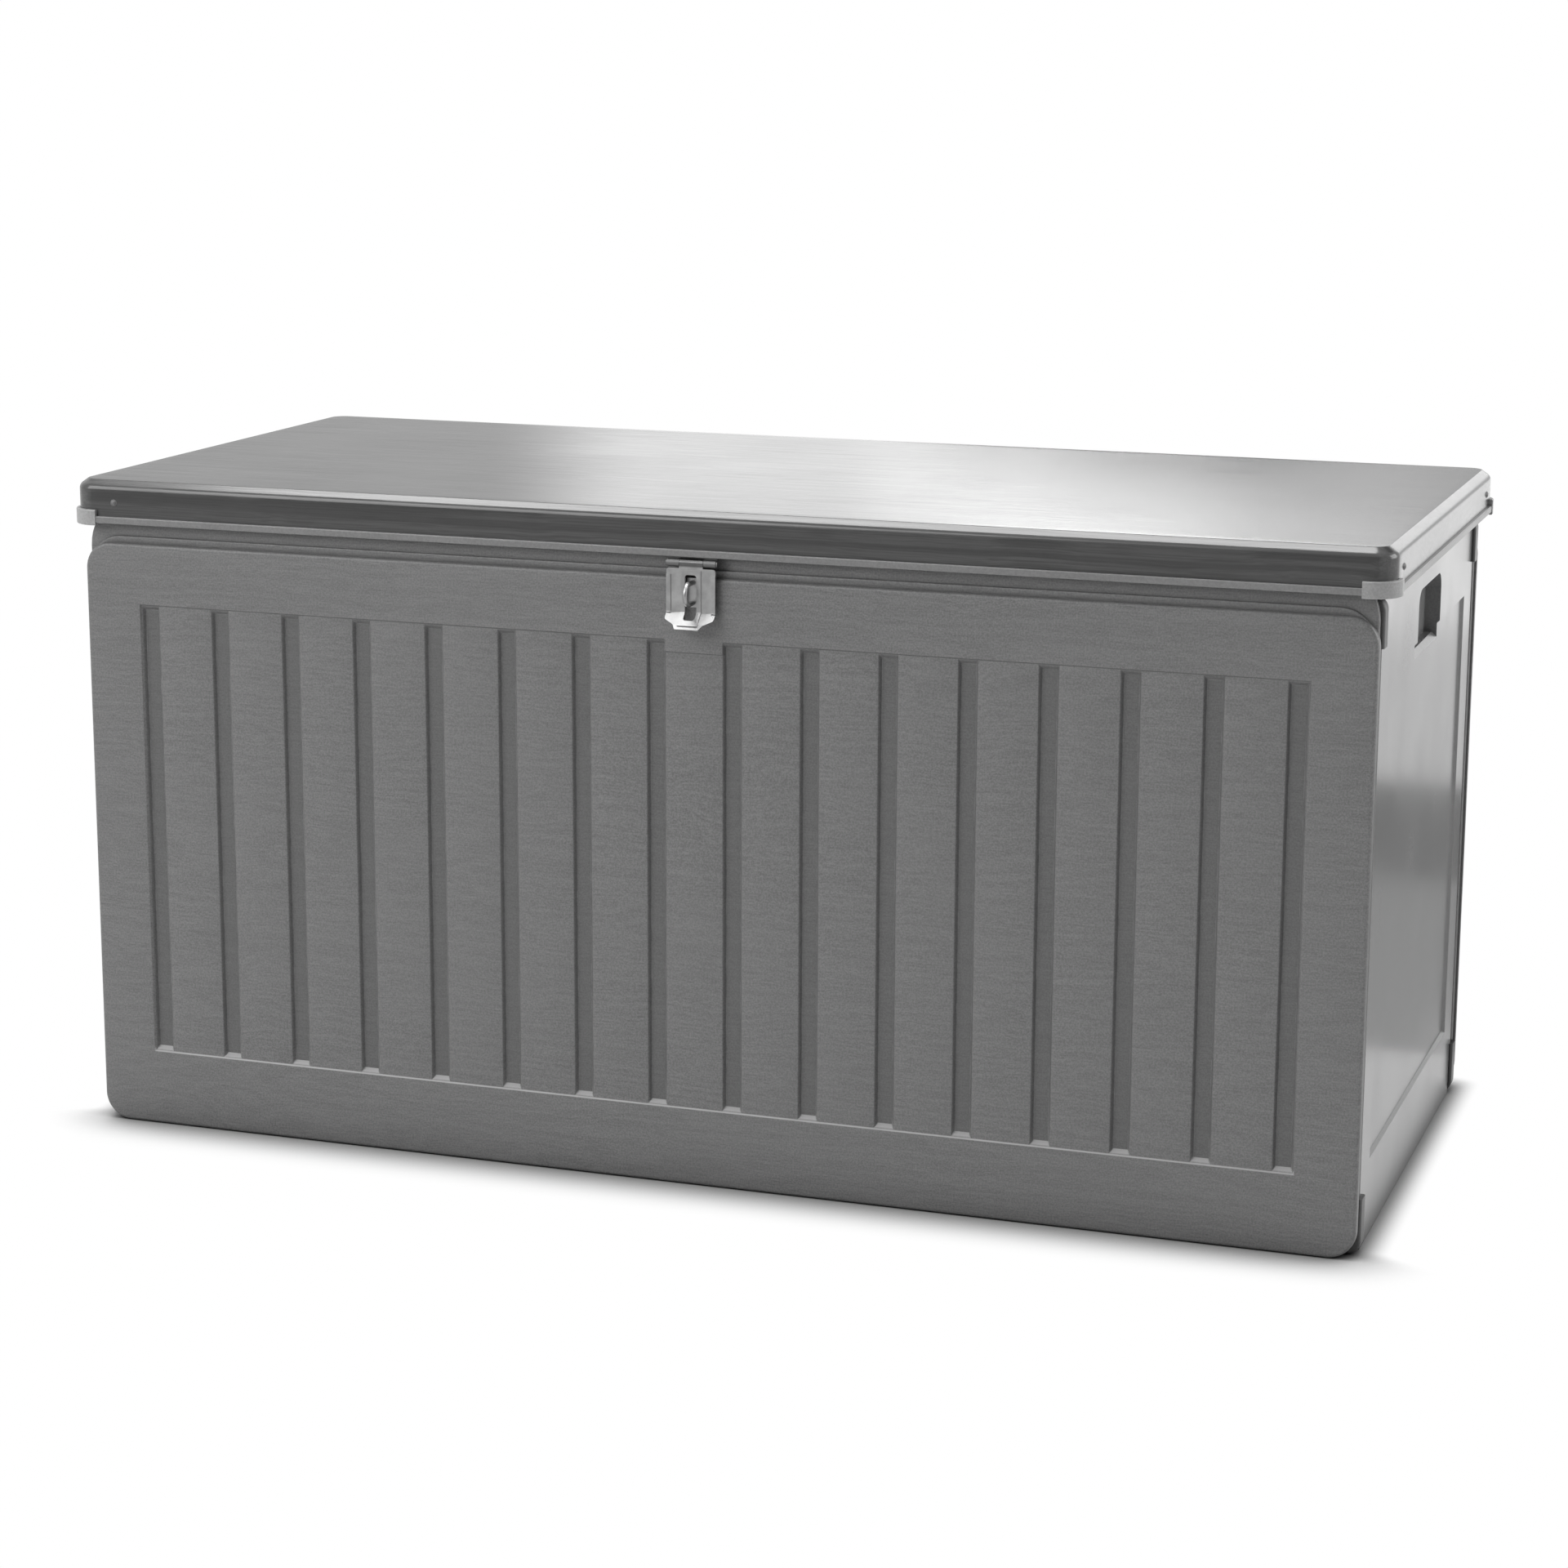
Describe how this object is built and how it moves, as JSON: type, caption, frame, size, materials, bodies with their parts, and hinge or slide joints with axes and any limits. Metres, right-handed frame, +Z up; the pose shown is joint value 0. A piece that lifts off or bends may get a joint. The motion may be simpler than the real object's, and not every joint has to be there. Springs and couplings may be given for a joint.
{
  "type": "deck storage box",
  "caption": "Long outdoor storage chest with slat-grooved hollow plastic walls, a folded sheet lid on rear hinges, a hasp and staple for a padlock, and hand-holds in its ends.",
  "frame": {"origin": "middle of the floor panel's underside, level with the lower edges of the walls", "axes": "+X along the box to the viewer's right, +Y from the front to the back, +Z up"},
  "size_m": [1.2292, 0.5746, 0.6133],
  "materials": {
    "wall_plastic": "moulded polypropylene with a fine wood-grain emboss, satin",
    "floor_plastic": "moulded polypropylene, matt",
    "connector_plastic": "black moulded plastic",
    "lid_sheet": "coated sheet steel with a faint wood grain, satin",
    "trim_plastic": "extruded and moulded edge trim, satin",
    "frame_steel": "painted steel tube and channel",
    "hasp_steel": "zinc-plated pressed steel",
    "hinge_steel": "zinc-plated steel",
    "fastener_steel": "zinc-plated steel"
  },
  "bodies": {
    "body": {"back_panel": "wall_plastic", "connector_screws": "fastener_steel", "floor_panel": "floor_plastic", "front_left_lower_connector": "connector_plastic", "front_left_upper_connector": "connector_plastic", "front_panel": "wall_plastic", "front_right_lower_connector": "connector_plastic", "front_right_upper_connector": "connector_plastic", "hinge_screws": "fastener_steel", "left_hinge_body_leaf": "hinge_steel", "left_hinge_pin": "hinge_steel", "left_side_panel": "wall_plastic", "middle_hinge_body_leaf": "hinge_steel", "middle_hinge_pin": "hinge_steel", "rear_left_lower_connector": "connector_plastic", "rear_left_upper_connector": "connector_plastic", "rear_right_lower_connector": "connector_plastic", "rear_right_upper_connector": "connector_plastic", "right_hinge_body_leaf": "hinge_steel", "right_hinge_pin": "hinge_steel", "right_side_panel": "wall_plastic", "staple": "hasp_steel", "staple_screws": "fastener_steel"},
    "lid": {"front_left_lid_cap": "trim_plastic", "front_lid_rail": "frame_steel", "front_lid_trim": "trim_plastic", "front_right_lid_cap": "trim_plastic", "hasp_bracket": "hasp_steel", "hasp_pin": "hasp_steel", "hinge_rivets": "fastener_steel", "left_hinge_lid_leaf": "hinge_steel", "left_lid_rail": "frame_steel", "left_lid_stiffener": "frame_steel", "left_lid_trim": "trim_plastic", "lid_rivets": "fastener_steel", "lid_shell": "lid_sheet", "middle_hinge_lid_leaf": "hinge_steel", "middle_lid_stiffener": "frame_steel", "rear_left_lid_cap": "trim_plastic", "rear_lid_rail": "frame_steel", "rear_lid_trim": "trim_plastic", "rear_right_lid_cap": "trim_plastic", "right_hinge_lid_leaf": "hinge_steel", "right_lid_rail": "frame_steel", "right_lid_stiffener": "frame_steel", "right_lid_trim": "trim_plastic"},
    "hasp_flap": {"hasp_flap": "hasp_steel"}
  },
  "joints": [
    {"name": "lid_hinge", "type": "hinge", "parent": "body", "child": "lid", "pos_m": [0, 0.27565, 0.5659], "axis": [-1, 0, 0], "range_deg": [0, 100]},
    {"name": "hasp_hinge", "type": "hinge", "parent": "lid", "child": "hasp_flap", "pos_m": [0, -0.27565, 0.5685], "axis": [-1, 0, 0], "range_deg": [0, 110]}
  ]
}
